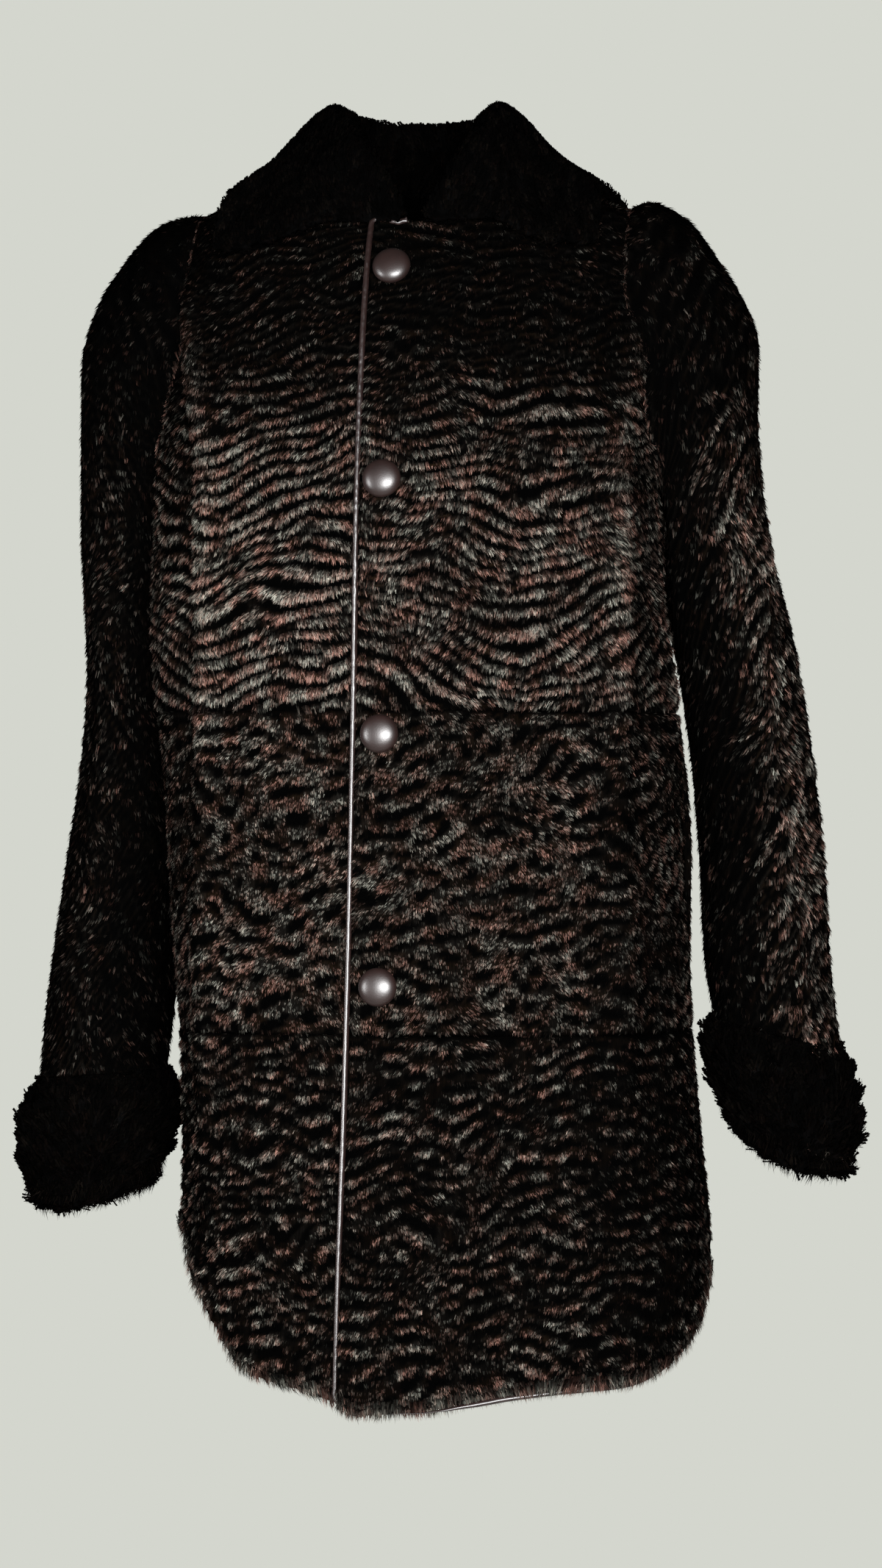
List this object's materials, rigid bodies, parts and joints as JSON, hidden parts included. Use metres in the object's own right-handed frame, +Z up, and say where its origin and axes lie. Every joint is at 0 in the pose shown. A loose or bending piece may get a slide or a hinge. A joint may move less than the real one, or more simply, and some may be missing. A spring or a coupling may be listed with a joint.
{
  "type": "shearling coat",
  "caption": "Hip-length dark brown shearling coat with moire pile, turned-down fur collar, turned-back cuffs, leather edge binding and four covered buttons, as worn and empty.",
  "frame": {"origin": "base of the neck, midway between the shoulders, where the wearer holds the coat up", "axes": "+Z up, the front faces -Y, the wearer's left is +X"},
  "size_m": [0.599, 0.3177, 0.8931],
  "materials": {
    "sheared_pelt": "matte",
    "long_pelt": "matte",
    "nappa_leather": "satin"
  },
  "bodies": {
    "root": {"front_left_upper": "sheared_pelt", "front_left_middle": "sheared_pelt", "front_left_lower": "sheared_pelt", "front_right_upper": "sheared_pelt", "front_right_middle": "sheared_pelt", "front_right_lower": "sheared_pelt", "back_upper": "sheared_pelt", "back_middle": "sheared_pelt", "back_lower": "sheared_pelt", "sleeve_left": "sheared_pelt", "sleeve_right": "sheared_pelt", "cuff_left": "long_pelt", "cuff_right": "long_pelt", "collar": "long_pelt", "front_left_binding": "nappa_leather", "button_1": "nappa_leather", "button_2": "nappa_leather", "button_3": "nappa_leather", "button_4": "nappa_leather"}
  },
  "joints": []
}
